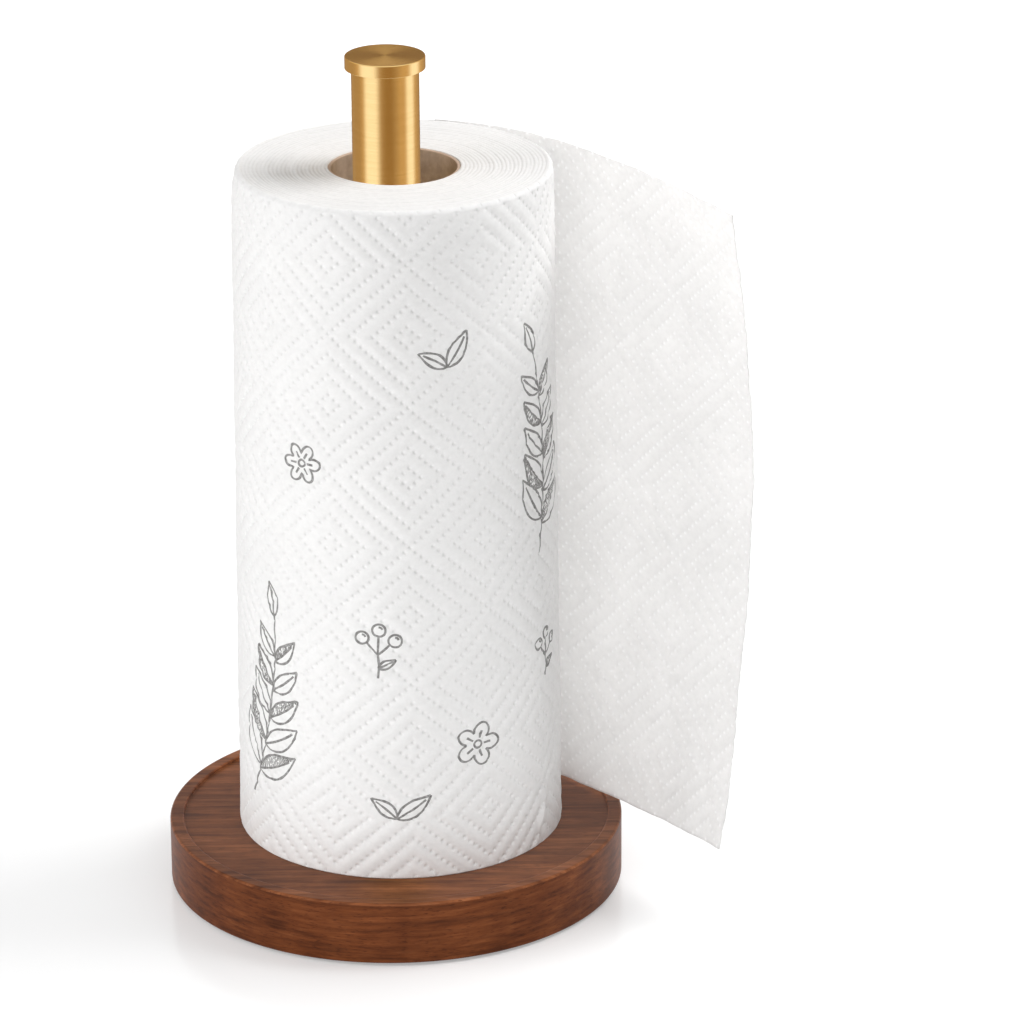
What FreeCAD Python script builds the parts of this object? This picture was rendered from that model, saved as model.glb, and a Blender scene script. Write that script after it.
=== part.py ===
import FreeCAD, Part
import math
import os
import re

import Sketcher

# Paper towel roll on its counter stand: a turned wooden base, a brass post with a cap,
# and a wound roll whose last sheet hangs loose behind its right side.
# Millimetres. +Z is up, +X is to the right and -Y is the front.
# The origin is on the post's axis, on the surface that the stand rests on.

DIMENSIONS = [
    # wooden base
    ("base_diameter", 169.0),
    ("base_thickness", 23.8),
    ("base_rim_width", 5.2),
    ("base_recess_depth", 1.2),
    ("base_rim_bevel", 0.5),
    ("base_foot_bevel", 1.2),
    # soft pad let into the underside
    ("pad_diameter", 146.0),
    ("pad_thickness", 2.0),
    ("pad_stand_out", 0.8),
    ("pad_edge_bevel", 0.4),
    # post: a tube with a threaded plug in its foot
    ("post_diameter", 24.4),
    ("post_wall", 1.2),
    ("post_top_height", 313.5),
    ("post_socket_depth", 6.0),
    ("plug_length", 20.0),
    # cap on the post
    ("cap_diameter", 29.0),
    ("cap_thickness", 4.5),
    ("cap_edge_bevel", 0.5),
    ("cap_spigot_length", 12.0),
    # screw and washer under the base
    ("screw_diameter", 8.0),
    ("screw_length", 25.0),
    ("screw_head_diameter", 13.0),
    ("screw_head_height", 4.5),
    ("screw_socket_width", 5.0),
    ("screw_socket_depth", 2.6),
    ("washer_diameter", 20.0),
    ("washer_thickness", 1.6),
    ("counterbore_diameter", 23.0),
    ("counterbore_depth", 8.0),
    # fits
    ("press_gap", 0.05),
    ("seat_gap", 0.1),
    ("bolt_gap", 0.4),
    ("glue_gap", 0.1),
    # cardboard core
    ("core_diameter", 47.0),
    ("core_wall", 1.2),
    ("core_shift", 3.0),
    # wound paper
    ("roll_height", 252.6),
    ("roll_radius", 59.0),
    ("roll_shift", 1.7),
    ("roll_rim_bevel", 0.5),
    ("roll_foot_round", 3.5),
    ("turn_count", 4.0),
    ("turn_margin", 1.6),
    ("turn_groove_width", 0.45),
    ("turn_groove_depth", 1.0),
    # loose sheet at the end of the winding
    ("sheet_thickness", 0.7),
    ("sheet_root_length", 6.0),
    ("sheet_leave_angle", 75.0),
    ("sheet_curl_length", 60.0),
    ("sheet_curl_angle", 33.5),
    ("sheet_tail_length", 90.0),
    ("sheet_tail_angle", 7.0),
    ("sheet_floor_gap", 0.5),
    ("sheet_corner_rise", 4.2),
    ("sheet_corner_dip", 4.0),
    ("sheet_bulge_right", 9.0),
    ("sheet_bulge_back", 18.5),
]

# Formulas that several pieces share, in the names of the dimensions
RECESS_FLOOR = "(pad_stand_out + base_thickness - base_recess_depth)"
SOCKET_FLOOR = "(pad_stand_out + base_thickness - base_recess_depth - post_socket_depth)"
PAD_SEAT = "(pad_thickness - pad_stand_out)"
WASHER_SEAT = "(pad_thickness + counterbore_depth - washer_thickness)"
POST_RADIUS = "(post_diameter / 2)"
POST_BORE = "(post_diameter / 2 - post_wall)"
CORE_HOLE = "(core_diameter / 2 + glue_gap)"
CORE_OFFSET = "(core_shift - roll_shift)"

# A round corner in two straight steps: its middle point lies this share of the
# radius away from both sides
ROUND_SHARE = 1 - math.sqrt(0.5)

# The loose sheet's surface runs through points at this many steps along its line
SHEET_STEPS = 4

ORIGIN_POINT = (-1, 1)
TOLERANCE = 1e-4


def fill_sheet(doc):
    """Put each dimension in a spreadsheet cell that carries its name."""
    sheet = doc.addObject("Spreadsheet::Sheet", "Dimensions")
    for row, (name, value) in enumerate(DIMENSIONS, start=1):
        sheet.set(f"A{row}", name)
        sheet.set(f"B{row}", str(value))
        sheet.setAlias(f"B{row}", name)
    doc.recompute()
    return sheet


def bound(formula):
    """The formula with every dimension's name pointing at its cell."""
    return re.sub(r"[a-z]+_[a-z_]+", lambda found: "Dimensions." + found.group(), formula)


def new_body(doc, label, height="0", shift="0"):
    """An empty body whose own zero lies at the given height and shift to the right."""
    body = doc.addObject("PartDesign::Body", label)
    body.Label = label
    body.setExpression("Placement.Base.z", bound(height))
    body.setExpression("Placement.Base.x", bound(shift))
    return body


def new_sketch(body, name, role, height="0"):
    """A sketch on one of the body's own origin planes, raised by a height."""
    sketch = body.newObject("Sketcher::SketchObject", name)
    plane = next(item for item in body.Origin.OriginFeatures if item.Role == role)
    sketch.AttachmentSupport = [(plane, "")]
    sketch.MapMode = "FlatFace"
    sketch.setExpression("AttachmentOffset.Base.z", bound(height))
    return sketch


def pin_point(sketch, geometry, end, across, up):
    """Hold one end of a line at a place that two formulas give."""
    for kind, formula in (("DistanceX", across), ("DistanceY", up)):
        rule = sketch.addConstraint(Sketcher.Constraint(kind, *ORIGIN_POINT, geometry, end, 1.0))
        sketch.setExpression(f"Constraints[{rule}]", bound(formula))


def draw_outline(sketch, corners):
    """A closed outline of straight lines; the formulas carry each corner to its place."""
    count = len(corners)
    ring = [2 * math.pi * index / count for index in range(count + 1)]
    start = [FreeCAD.Vector(math.cos(angle), math.sin(angle), 0) for angle in ring]
    for index in range(count):
        sketch.addGeometry(Part.LineSegment(start[index], start[index + 1]), False)
    for index in range(count):
        following = (index + 1) % count
        sketch.addConstraint(Sketcher.Constraint("Coincident", index, 2, following, 1))
    for index, (across, up) in enumerate(corners):
        pin_point(sketch, index, 1, across, up)


def turn_profile(body, name, corners):
    """Turn a half section, given as radius and height, about the body's upright axis."""
    sketch = new_sketch(body, name + "_section", "XZ_Plane")
    draw_outline(sketch, corners)
    turned = body.newObject("PartDesign::Revolution", name)
    turned.Profile = sketch
    turned.ReferenceAxis = (sketch, ["V_Axis"])
    turned.Angle = 360
    body.Document.recompute()
    return turned


def tube_profile(inner, outer, length):
    """Half section of a plain ring that stands on zero."""
    return [(inner, "0"), (outer, "0"), (outer, length), (inner, length)]


def ring_edges(feature, radius, height):
    """Names of the full round edges of a feature with this radius at this height."""
    names = []
    for number, edge in enumerate(feature.Shape.Edges, start=1):
        curve = edge.Curve
        if not isinstance(curve, Part.Circle):
            continue
        if abs(curve.Radius - radius) < TOLERANCE and abs(curve.Center.z - height) < TOLERANCE:
            names.append(f"Edge{number}")
    return names


def bevel_edges(body, base, name, amount, rings):
    """Bevel the round edges that (radius, height) pairs point at."""
    edges = [edge for radius, height in rings for edge in ring_edges(base, radius, height)]
    if len(edges) != len(rings):
        raise RuntimeError(f"{name}: {len(edges)} edges found for {len(rings)} rings")
    bevel = body.newObject("PartDesign::Chamfer", name)
    bevel.Base = (base, edges)
    bevel.setExpression("Size", bound(amount))
    body.Document.recompute()
    return bevel


def cut_pocket(body, name, sketch, depth, reverse=False):
    """Sink a sketch into the body and make sure that it took something away."""
    before = body.Shape.Volume
    pocket = body.newObject("PartDesign::Pocket", name)
    pocket.Profile = sketch
    pocket.Reversed = reverse
    pocket.setExpression("Length", bound(depth))
    body.Document.recompute()
    if body.Shape.Volume > before - TOLERANCE:
        raise RuntimeError(f"{name} cut nothing")
    return pocket


def make_base(doc, size):
    """Turned wooden disc: a low rim round a shallow recess, a socket and a counterbore."""
    body = new_body(doc, "wooden_base", "pad_stand_out")
    edge = "base_diameter / 2"
    rim = "base_diameter / 2 - base_rim_width"
    top = "base_thickness"
    floor = "base_thickness - base_recess_depth"
    socket = f"{POST_RADIUS} + seat_gap"
    socket_floor = "base_thickness - base_recess_depth - post_socket_depth"
    bolt = "screw_diameter / 2 + bolt_gap"
    bore = "counterbore_diameter / 2"
    bore_top = f"{PAD_SEAT} + counterbore_depth"
    pad_edge = "pad_diameter / 2 + seat_gap"
    base = turn_profile(body, "base_disc", [
        (pad_edge, "0"), (edge, "0"), (edge, top), (rim, top), (rim, floor),
        (socket, floor), (socket, socket_floor), (bolt, socket_floor),
        (bolt, bore_top), (bore, bore_top), (bore, PAD_SEAT), (pad_edge, PAD_SEAT)])
    radius = size("base_diameter") / 2
    thickness = size("base_thickness")
    rims = [(radius, thickness), (radius - size("base_rim_width"), thickness)]
    eased = bevel_edges(body, base, "rim_bevels", "base_rim_bevel", rims)
    bevel_edges(body, eased, "foot_bevel", "base_foot_bevel", [(radius, 0.0)])
    return body


def make_pad(doc, size):
    """Soft disc that the base stands on."""
    body = new_body(doc, "foot_pad")
    rim = "pad_diameter / 2"
    disc = turn_profile(body, "pad_disc", tube_profile("0", rim, "pad_thickness"))
    foot = [(size("pad_diameter") / 2, 0.0)]
    bevel_edges(body, disc, "pad_bevel", "pad_edge_bevel", foot)
    return body


def make_post(doc):
    """Thin-walled tube that stands in the socket of the base."""
    body = new_body(doc, "post_tube", SOCKET_FLOOR)
    length = f"post_top_height - {SOCKET_FLOOR}"
    turn_profile(body, "post_wall_ring", tube_profile(POST_BORE, POST_RADIUS, length))
    return body


def make_plug(doc):
    """Plug in the tube's foot that takes the screw."""
    body = new_body(doc, "post_plug", SOCKET_FLOOR)
    inner = "screw_diameter / 2 + press_gap"
    outer = f"{POST_BORE} - press_gap"
    turn_profile(body, "plug_ring", tube_profile(inner, outer, "plug_length"))
    return body


def make_cap(doc, size):
    """Flat round cap with a spigot that is pressed into the tube."""
    body = new_body(doc, "post_cap", "post_top_height")
    spigot = f"{POST_BORE} - press_gap"
    rim = "cap_diameter / 2"
    cap = turn_profile(body, "cap_disc", [
        ("0", "-cap_spigot_length"), (spigot, "-cap_spigot_length"), (spigot, "0"),
        (rim, "0"), (rim, "cap_thickness"), ("0", "cap_thickness")])
    radius = size("cap_diameter") / 2
    rims = [(radius, 0.0), (radius, size("cap_thickness"))]
    bevel_edges(body, cap, "cap_bevels", "cap_edge_bevel", rims)
    return body


def make_screw(doc):
    """Socket head screw that pulls the post down on the base, its thread left plain."""
    body = new_body(doc, "post_screw", WASHER_SEAT)
    head = "screw_head_diameter / 2"
    shank = "screw_diameter / 2"
    turn_profile(body, "screw_blank", [
        ("0", "-screw_head_height"), (head, "-screw_head_height"), (head, "0"),
        (shank, "0"), (shank, "screw_length"), ("0", "screw_length")])
    sketch = new_sketch(body, "screw_hexagon", "XY_Plane", "-screw_head_height")
    reach = "screw_socket_width / 1.7320508"
    half = "screw_socket_width / 2"
    draw_outline(sketch, [
        (reach, "0"), (f"{reach} / 2", half), (f"-{reach} / 2", half),
        (f"-{reach}", "0"), (f"-{reach} / 2", f"-{half}"), (f"{reach} / 2", f"-{half}")])
    cut_pocket(body, "screw_socket", sketch, "screw_socket_depth", reverse=True)
    return body


def make_washer(doc):
    """Flat washer under the screw's head."""
    body = new_body(doc, "screw_washer", WASHER_SEAT)
    inner = "screw_diameter / 2 + bolt_gap"
    ring = tube_profile(inner, "washer_diameter / 2", "washer_thickness")
    turn_profile(body, "washer_ring", ring)
    return body


def make_core(doc):
    """Cardboard core, standing loose round the post."""
    body = new_body(doc, "core_tube", RECESS_FLOOR, "core_shift")
    inner = "core_diameter / 2 - core_wall"
    ring = tube_profile(inner, "core_diameter / 2", "roll_height")
    turn_profile(body, "core_ring", ring)
    return body


def make_wound_body(doc, size):
    """The wound paper as a thick ring with a soft lower edge."""
    body = new_body(doc, "wound_body", RECESS_FLOOR, "roll_shift")
    ring = turn_profile(body, "wound_ring", [
        ("0", "0"), ("roll_radius - roll_foot_round", "0"),
        (f"roll_radius - roll_foot_round * {ROUND_SHARE}", f"roll_foot_round * {ROUND_SHARE}"),
        ("roll_radius", "roll_foot_round"), ("roll_radius", "roll_height"), ("0", "roll_height")])
    rim = [(size("roll_radius"), size("roll_height"))]
    bevel_edges(body, ring, "rim_bevel", "roll_rim_bevel", rim)
    sketch = new_sketch(body, "core_hole_circle", "XY_Plane")
    circle = Part.Circle(FreeCAD.Vector(1, 0, 0), FreeCAD.Vector(0, 0, 1), size("core_diameter") / 2)
    hole = sketch.addGeometry(circle, False)
    rule = sketch.addConstraint(Sketcher.Constraint("Radius", hole, circle.Radius))
    sketch.setExpression(f"Constraints[{rule}]", bound(CORE_HOLE))
    pin_point(sketch, hole, 3, CORE_OFFSET, "0")
    cut_pocket(body, "core_hole", sketch, "roll_height", reverse=True)
    return body


def turn_crossings(size, lane):
    """Where the spiral crosses the left-right line, right and left by turns.

    Even steps lead from the core to the outside, and the middle drifts from the
    core's centre to the roll's own. The lane is added to every reach.
    """
    half_turns = 2 * round(size("turn_count"))
    inner = size("core_diameter") / 2 + size("glue_gap") + size("turn_margin")
    outer = size("roll_radius") - 2 * size("turn_margin")
    offset = size("core_shift") - size("roll_shift")
    crossings = []
    for step in range(half_turns + 1):
        share = step / half_turns
        reach = inner + (outer - inner) * share + lane
        middle = offset * (1 - share)
        crossings.append(middle + reach if step % 2 == 0 else middle - reach)
    return crossings


def spiral_line(crossings):
    """Semicircles from crossing to crossing, turning clockwise as they widen."""
    arcs = []
    for step, (start, end) in enumerate(zip(crossings, crossings[1:])):
        middle = (start + end) / 2
        radius = abs(start - end) / 2
        side = -1 if step % 2 == 0 else 1
        ends = [FreeCAD.Vector(place, 0, 0) for place in (start, end)]
        top = FreeCAD.Vector(middle, side * radius, 0)
        arcs.append(Part.Arc(ends[0], top, ends[1]).toShape())
    return arcs


def cap_line(crossings, others, index):
    """Short line that closes the channel at one end of the spiral."""
    ends = [FreeCAD.Vector(places[index], 0, 0) for places in (crossings, others)]
    return Part.makeLine(*ends)


def make_turn_channel(doc, size):
    """Narrow spiral channel that shows the turns on the roll's upper end."""
    inner = turn_crossings(size, 0.0)
    outer = turn_crossings(size, size("turn_groove_width"))
    edges = spiral_line(inner) + spiral_line(outer)
    edges += [cap_line(inner, outer, 0), cap_line(inner, outer, -1)]
    face = Part.Face(Part.Wire(Part.__sortEdges__(edges)))
    channel = doc.addObject("Part::Feature", "turn_channel")
    channel.Shape = face.extrude(FreeCAD.Vector(0, 0, size("turn_groove_depth")))
    channel.setExpression("Placement.Base.x", bound("roll_shift"))
    height = f"{RECESS_FLOOR} + roll_height - turn_groove_depth"
    channel.setExpression("Placement.Base.z", bound(height))
    return channel


def follow_arc(start, heading, length, turn):
    """End and new heading of a path that bends clockwise by an angle over a length."""
    radius = length / turn
    across = radius * (math.sin(heading) - math.sin(heading - turn))
    along = radius * (math.cos(heading - turn) - math.cos(heading))
    return start + FreeCAD.Vector(across, along, 0), heading - turn


def sheet_path(size, distance):
    """Point and heading of the loose sheet's line in plan.

    The distance counts from where the sheet leaves the roll. Before that it follows
    the roll's circle. After it come the curl and then the flatter tail.
    """
    radius = size("roll_radius")
    leave = math.radians(size("sheet_leave_angle"))
    if distance <= 0:
        angle = leave - distance / radius
        point = FreeCAD.Vector(radius * math.cos(angle), radius * math.sin(angle), 0)
        return point, angle - math.pi / 2
    point = FreeCAD.Vector(radius * math.cos(leave), radius * math.sin(leave), 0)
    heading = leave - math.pi / 2
    for part in ("curl", "tail"):
        length = size(f"sheet_{part}_length")
        turn = math.radians(size(f"sheet_{part}_angle"))
        run = min(distance, length)
        point, heading = follow_arc(point, heading, run, turn * run / length)
        distance -= run
        if distance <= 0:
            break
    return point, heading


def sheet_point(size, distance, height):
    """Point on the sheet's inner side, its height given as a share from 0 to 1.

    Along the roll the sheet rises out of the wound paper by half its thickness. With
    the square of the distance its corners close in and its middle bulges to the back.
    """
    free = size("sheet_curl_length") + size("sheet_tail_length")
    grown = (max(distance, 0.0) / free) ** 2
    point, heading = sheet_path(size, distance)
    outward = FreeCAD.Vector(-math.sin(heading), math.cos(heading), 0)
    buried = size("sheet_thickness") * (0.5 - min(distance, 0.0) / size("sheet_root_length"))
    swell = grown * 4 * height * (1 - height)
    bulge = FreeCAD.Vector(size("sheet_bulge_right"), size("sheet_bulge_back"), 0) * swell
    low = size("sheet_floor_gap") + size("sheet_corner_rise") * grown
    high = size("roll_height") - size("sheet_corner_dip") * grown
    rise = FreeCAD.Vector(0, 0, low + (high - low) * height)
    return point - outward * buried + bulge + rise


def make_loose_sheet(doc, size):
    """The last sheet of the winding: it leaves the back of the roll and hangs free."""
    root = size("sheet_root_length")
    whole = root + size("sheet_curl_length") + size("sheet_tail_length")
    stations = [whole * step / SHEET_STEPS - root for step in range(SHEET_STEPS + 1)]
    heights = [0.0, 0.5, 1.0]
    grid = [[sheet_point(size, distance, height) for distance in stations] for height in heights]
    surface = Part.BSplineSurface()
    surface.interpolate(grid)
    face = surface.toShape()
    sheet = doc.addObject("Part::Feature", "loose_sheet")
    sheet.Shape = face.makeOffsetShape(size("sheet_thickness"), TOLERANCE, fill=True)
    sheet.setExpression("Placement.Base.x", bound("roll_shift"))
    sheet.setExpression("Placement.Base.z", bound(RECESS_FLOOR))
    return sheet


def make_roll(doc, size):
    """All the turns and the loose sheet as one solid."""
    wound = make_wound_body(doc, size)
    channel = make_turn_channel(doc, size)
    sheet = make_loose_sheet(doc, size)
    turned = doc.addObject("Part::Cut", "roll_with_turns")
    turned.Base = wound
    turned.Tool = channel
    roll = doc.addObject("Part::Fuse", "paper_roll")
    roll.Base = turned
    roll.Tool = sheet
    roll.Label = "paper_roll"
    return roll


def check(doc, pieces):
    """Stop if any object failed or any piece isn't one valid solid."""
    for item in doc.Objects:
        if "Invalid" in item.State or "Error" in item.State:
            raise RuntimeError(f"{item.Label} failed: {item.State}")
    for piece in pieces:
        shape = piece.Shape
        if shape.isNull() or not shape.isValid() or len(shape.Solids) != 1:
            raise RuntimeError(f"{piece.Label} isn't one valid solid")


def main():
    doc = FreeCAD.newDocument("PaperTowelRoll")
    sheet = fill_sheet(doc)

    def size(name):
        return float(sheet.get(name))

    pieces = [
        make_base(doc, size),
        make_pad(doc, size),
        make_post(doc),
        make_plug(doc),
        make_cap(doc, size),
        make_screw(doc),
        make_washer(doc),
        make_core(doc),
        make_roll(doc, size),
    ]
    doc.recompute()
    check(doc, pieces)
    os.makedirs("parts", exist_ok=True)
    for piece in pieces:
        piece.Shape.exportStep(f"parts/{piece.Label}.step")
        box = piece.Shape.BoundBox
        print(f"{piece.Label}: {piece.Shape.Volume / 1000:.2f} cm3, "
              f"z {box.ZMin:.2f} to {box.ZMax:.2f}")


main()
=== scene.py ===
import math

import bmesh
import bpy
import numpy as np
from mathutils import Matrix, Vector


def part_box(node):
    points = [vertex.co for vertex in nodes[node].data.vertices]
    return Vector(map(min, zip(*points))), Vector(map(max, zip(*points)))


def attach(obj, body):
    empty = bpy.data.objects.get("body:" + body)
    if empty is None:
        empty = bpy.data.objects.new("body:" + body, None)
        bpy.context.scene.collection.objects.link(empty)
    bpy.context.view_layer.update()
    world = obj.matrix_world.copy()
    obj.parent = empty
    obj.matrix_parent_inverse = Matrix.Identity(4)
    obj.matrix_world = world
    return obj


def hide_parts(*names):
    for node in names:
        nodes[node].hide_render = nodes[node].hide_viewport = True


# Paper towel roll on a turned walnut stand with a brass post.
# Lengths are millimetres, heights count from the surface that the stand rests on,
# and meshes are scaled to the frame's metres as they are made.

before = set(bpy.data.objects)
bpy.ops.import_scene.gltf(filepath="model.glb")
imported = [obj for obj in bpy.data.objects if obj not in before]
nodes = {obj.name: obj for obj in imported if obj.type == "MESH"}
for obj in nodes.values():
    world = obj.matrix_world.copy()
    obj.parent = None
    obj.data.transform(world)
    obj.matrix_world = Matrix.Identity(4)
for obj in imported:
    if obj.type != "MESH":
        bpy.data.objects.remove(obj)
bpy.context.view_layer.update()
scene = bpy.context.scene
MM = 0.001


def node_box(node):
    """Lowest and highest corner of a construction node, in millimetres."""
    low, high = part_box(node)
    return np.array(low) / MM, np.array(high) / MM


# Camera, fitted to the edges of the base, post and roll. The angles are degrees.
CAMERA_PLACE = (44.196, -1909.40, 873.02)
CAMERA_TILT = 69.091
CAMERA_ROLL = -0.384
CAMERA_LENS = 195.69
SENSOR_WIDTH = 36.0
CLIP_METRES = 100.0

# Meshes and ripples in general
MERGE_METRES = 1e-7
GUARD_SHARE = 0.35
SHORTEST_WAVE = 0.35

# Wound paper
ROLL_FOOT = node_box("paper_roll")[0][2]
ROLL_HEIGHT = 254.0
ROLL_TOP = ROLL_FOOT + ROLL_HEIGHT
TOP_RADIUS = 58.0
FOOT_RADIUS = 60.3
TOP_SHIFT = 2.2
FOOT_SHIFT = 2.0
PLY = 0.45
RIM_ROUND, RIM_ROWS = 1.4, 6
FOOT_ROUND, FOOT_ROWS = 0.8, 8
SHOULDER_DEPTH, SHOULDER_HEIGHT = 1.4, 11.0
WALL_RIPPLE = 0.28
WALL_WAVES = {"seed": 4}

# Embossed pattern: nested diamonds of dots, measured from one diamond's middle
DIAMOND_WIDTH = 57.2
DIAMOND_HEIGHT = 52.8
DIAMOND_DOTS = 14
DIAMOND_ANGLE = 275.6
DIAMOND_MIDDLE = 231.8
MESH_STEPS = 84
STEP_ALONG = DIAMOND_WIDTH / MESH_STEPS
STEP_UP = DIAMOND_HEIGHT / MESH_STEPS
GRID_MARGIN = 0.3
PUFF_HEIGHT = 0.22
PUFF_POWER = 1.6
LOOSE_PUFF_LOSS = 0.5
DIMPLE_DEPTH = 0.45
DIMPLE_RADIUS = 0.68
FADE_AT_RIM, FADE_AT_FOOT = 1.5, 2.0

# Crease near the foot: a ridge beside a furrow, along a slanted line
FOLD_ALONG = 56.0
FOLD_UP = ROLL_FOOT + 11.0
FOLD_HEIGHT = 1.1
FOLD_WIDTH = 1.4
FOLD_LENGTH = 8.0
FOLD_COSINE, FOLD_SINE = 0.94, 0.34
FURROW_PLACE, FURROW_WIDTH, FURROW_SHARE = 2.4, 1.5, 0.7

# Where the last sheet leaves the winding, as a place along the paper
SEAM_STEPS = 298
SEAM_ALONG = -SEAM_STEPS * STEP_ALONG
TURN_STEPS = math.ceil(2 * math.pi * TOP_RADIUS / STEP_ALONG) + 2
WALL_PANELS = 3

# Loose sheet
CURL_LENGTH = 60.0
CURL_ANGLE = math.radians(33.5)
TAIL_LENGTH = 90.0
TAIL_ANGLE = math.radians(7.0)
SHEET_LENGTH = CURL_LENGTH + TAIL_LENGTH
SHEET_GAP = 0.5
SHEET_GRID = 1.5
CORNER_RISE = 4.2
CORNER_DIP = 5.3
CORNER_TUCK = 3.3
BULGE_RIGHT = 9.0
BULGE_BACK = 18.5
WRINKLE_HEIGHT, WRINKLE_ONSET = 0.6, 10
WRINKLES = {"seed": 12, "waves": 9, "longest": 26.0}
SHEET_RIPPLE = 1.2
SHEET_WAVES = {"seed": 9, "longest": 160.0}

# Wound edges on the roll's upper end
TURN_PITCH = 1.45
TURN_RELIEF = 0.20
TURN_MEAN, TURN_UNEVEN, TURN_SINK = 0.9, 0.22, 0.1
UNEVEN_WAVES = {"seed": 33, "waves": 9}
UNWOUND_RADIUS = 14.0
TURN_WANDER = 0.7
WANDER_WAVES = {"seed": 21, "waves": 9, "longest": 45.0}
END_ROWS = 120
END_FADE = 0.03
END_FALL = 1.0
UNDERSIDE_ROWS = 4
PROUD_HEIGHT = 0.5
PROUD_POWER = 6
PROUD_MEAN, PROUD_SWING = 0.55, 0.45
# Painted shade in the gaps between the wound turns: its mean strength and its swing
GAP_SHADE_MEAN, GAP_SHADE_SWING = 0.75, 0.5
LIP_DEPTH = 1.75

# Printed plants: line width, the lift of the ink over the paper, and where it may lie
INK_WIDTH = 0.85
INK_UNEVEN = 0.3
INK_WAVES = {"seed": 5, "longest": 8.0}
INK_STEP = 0.5
INK_LIFT = 0.10
LOOSE_INK_LIFT = 0.25
PRINT_REPEAT = math.pi * TOP_RADIUS
PRINT_REPEATS = range(-2, 2)
PRINT_MARGIN = 3.0
PRINT_STEPS = TURN_STEPS - 6

# Proportions of the drawings; shares are of their own length, radius or size
LEAF_POINTS = 26
LEAF_POWER = 0.8
MIDRIB_SHARE = 0.85
CIRCLE_POINTS = 22
FLOWER_POINTS = 120
PETAL_NOTCH, PETAL_REACH, PETAL_POWER = 0.45, 0.55, 0.7
FLOWER_EYE = 0.17
STAMEN_POINTS = 8
STAMEN_SPAN = (0.28, 0.62)
STIPPLE_ALONG = (0.06, 0.94)
STIPPLE_DEPTH = (0.08, 0.9)
STIPPLE_STROKE = [[-0.22, 0.0], [0.22, 0.0]]
STIPPLE_DENSITY = 0.42
STEM_POINTS, STEM_BEND = 40, 0.5
FIRST_PAIR, PAIRS_SPAN = 0.16, 0.74
TIP_SHORTENING = 0.45
LEAF_SPREAD = 0.95
LEAF_CURVE = 0.4
LEAF_WIDTH = 0.42
TIP_LEAF = (0.6, 0.25)
LONG_LEAF, SHORT_LEAF = (15.0, 6.0), (12.0, 5.0)
BERRY_STALK = [[0.0, -0.9], [0.05, -0.4], [0.0, 0.0]]
BERRY_TIPS = ((-0.55, 0.65), (0.05, 0.95), (0.62, 0.55))
BERRY_RADIUS = 0.24
GLEAM_SHARE, BERRY_GLEAM = 0.55, (0.3, 1.6)
BERRY_LEAF_FOOT = (0.02, -0.5)
BERRY_LEAF = (0.35, 0.7, 0.3)

# Core, base, post and cap take their places from the construction
CORE_LOW, CORE_HIGH = node_box("core_tube")
CORE_OUTSIDE = (CORE_HIGH[0] - CORE_LOW[0]) / 2 + 0.4
CORE_WALL = 1.2
CORE_INSIDE = CORE_OUTSIDE - CORE_WALL
CORE_MIDDLE = ((CORE_HIGH[0] + CORE_LOW[0]) / 2 - 0.3, 1.0)
CORE_RISE = 0.25
BASE_LOW, BASE_HIGH = node_box("wooden_base")
BASE_EDGE, BASE_TOP = BASE_HIGH[0], BASE_HIGH[2]
RIM_WIDTH = 5.2
RECESS_EDGE = BASE_EDGE - RIM_WIDTH
PAD_SEAT_RADIUS = 73.1
SOCKET_RADIUS = 12.3
BOLT_HOLE_RADIUS = 4.4
COUNTERBORE_RADIUS = 11.5
POST_WALL = 1.2
SPIGOT_RADIUS = 10.95
CAP_RINGS, CAP_RING_PITCH, CAP_RING_DEPTH = 150, 0.42, 0.018
CAP_BORDER = 0.75
FINE_EDGE = 0.2
CORE_SEGMENTS, BASE_SEGMENTS, POST_SEGMENTS = 128, 288, 160

# Colours of the finishes, as (position, colour) stops or as single colours
TISSUE_TONES = [(0.3, (0.855, 0.85, 0.845)), (0.7, (0.885, 0.88, 0.875))]
TISSUE_GRAIN = [(0.35, (0.955, 0.955, 0.955)), (0.6, (1.0, 1.0, 1.0))]
# Colour of the painted shade in the gaps between the wound turns
GAP_SHADE_TONE = (0.50, 0.485, 0.47)
# Painted light: colour of the raised dots on the loose sheet, as if lit through the thin paper
DOT_BACKLIGHT_TONE = (1.0, 1.0, 1.0)
WALNUT_BASE = [(0.32, (0.078, 0.022, 0.008)), (0.5, (0.205, 0.062, 0.021)), (0.68, (0.38, 0.138, 0.056))]
WALNUT_RINGS = [(0.0, (0.070, 0.019, 0.006)), (0.6, (0.215, 0.064, 0.020)), (1.0, (0.33, 0.112, 0.040))]
WALNUT_STREAKS = [(0.36, (0.034, 0.010, 0.005)), (0.52, (0.20, 0.060, 0.019)), (0.70, (0.34, 0.12, 0.046))]
WALNUT_LINES = [(0.34, (0.045, 0.012, 0.005)), (0.56, (0.21, 0.066, 0.022)), (0.74, (0.35, 0.13, 0.052))]
WALNUT_BANDS = [(0.35, (0.55, 0.50, 0.48)), (0.6, (1.0, 1.0, 1.0))]
PORE_MASK = [(0.60, (0, 0, 0)), (0.70, (0.55, 0.55, 0.55))]
PORE_TONE = (0.045, 0.013, 0.006)
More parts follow.
